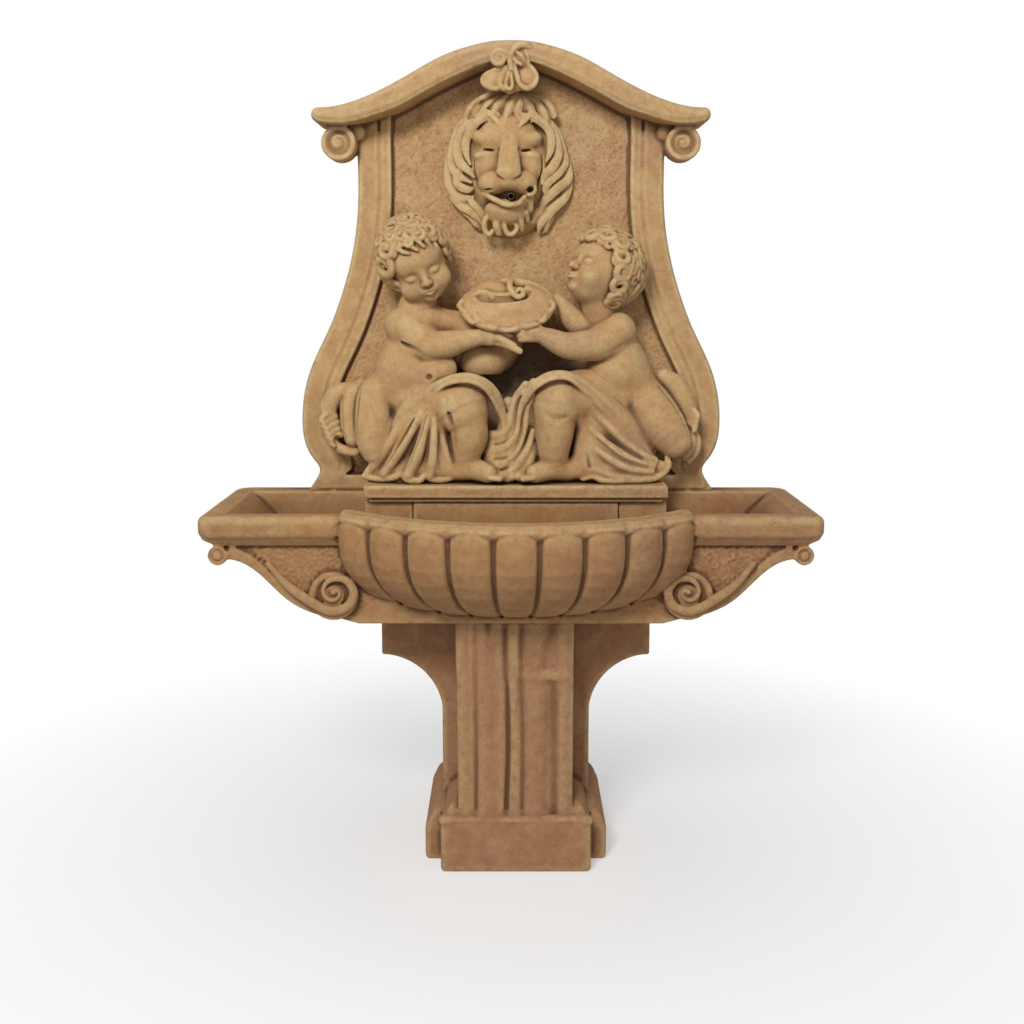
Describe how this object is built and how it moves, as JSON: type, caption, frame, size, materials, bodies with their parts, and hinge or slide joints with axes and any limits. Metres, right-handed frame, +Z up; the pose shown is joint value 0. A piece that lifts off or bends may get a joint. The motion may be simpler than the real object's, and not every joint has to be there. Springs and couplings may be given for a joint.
{
  "type": "garden wall fountain",
  "caption": "Cast-stone wall fountain: fluted bowl with side troughs on a pedestal, bell-shaped back panel with lion-mask spout, seated putti holding a shell dish, and a hidden pump.",
  "frame": {"origin": "on the floor, half way across the width and half way from the wall to the bowl's front", "axes": "+Z up, +Y towards the wall, +X to the right seen from the front"},
  "size_m": [1.2192, 0.508, 1.6764],
  "materials": {
    "cast_stone": "warm terracotta-coloured cast stone, matt, rubbed lighter on the high parts",
    "pump_plastic": "black moulded plastic",
    "impeller_plastic": "grey moulded plastic",
    "dial_plastic": "red dial",
    "shaft_ceramic": "ground",
    "black_rubber": "moulded",
    "brass": "machined",
    "chrome": "polished",
    "lever_paint": "gloss paint",
    "clear_vinyl": "clear flexible vinyl",
    "steel": "stainless",
    "copper": "copper tube, dull"
  },
  "bodies": {
    "fountain": {"pedestal": "cast_stone", "basin": "cast_stone", "back_panel": "cast_stone", "crown_ornament": "cast_stone", "lion_mask": "cast_stone", "left_putto": "cast_stone", "right_putto": "cast_stone", "shell_dish": "cast_stone", "figure_ledge": "cast_stone", "left_riser_pier": "cast_stone", "right_riser_pier": "cast_stone", "pump_housing": "pump_plastic", "impeller_cover": "pump_plastic", "impeller_shaft": "shaft_ceramic", "pump_intake_screen": "pump_plastic", "pump_feet": "black_rubber", "pump_cord_gland": "black_rubber", "flow_valve_body": "brass", "hose_adapter": "brass", "supply_hose": "clear_vinyl", "hose_clamps": "steel", "spout_tube": "copper", "spout_bushing": "black_rubber", "drain_body": "brass", "drain_gasket": "black_rubber", "drain_locknut": "brass", "cord_grommet": "black_rubber", "setting_pads": "black_rubber", "base_dowels": "steel", "panel_dowels": "steel", "hanger_plates": "steel", "hanger_screws": "steel"},
    "pump_cover": {"pump_cover": "cast_stone"},
    "drain_stopper": {"drain_stopper": "black_rubber"},
    "flow_valve": {"flow_valve_ball": "chrome", "flow_valve_lever": "lever_paint"},
    "pump_impeller": {"pump_impeller": "impeller_plastic"},
    "flow_dial": {"flow_dial": "dial_plastic"}
  },
  "joints": [
    {"name": "cover_slide", "type": "slide", "parent": "fountain", "child": "pump_cover", "axis": [0, -1, 0], "range_m": [0, 0.09]},
    {"name": "stopper_lift", "type": "slide", "parent": "fountain", "child": "drain_stopper", "axis": [0, 0, 1], "range_m": [0, 0.06]},
    {"name": "valve_turn", "type": "hinge", "parent": "fountain", "child": "flow_valve", "pos_m": [0.108, 0.14, 0.6365], "axis": [0, 1, 0], "range_deg": [0, 90]},
    {"name": "impeller_spin", "type": "hinge", "parent": "fountain", "child": "pump_impeller", "pos_m": [0.094, 0.14, 0.589], "axis": [1, 0, 0], "continuous": true},
    {"name": "dial_turn", "type": "hinge", "parent": "fountain", "child": "flow_dial", "pos_m": [0.079, 0.14, 0.589], "axis": [1, 0, 0], "range_deg": [0, 60]}
  ]
}
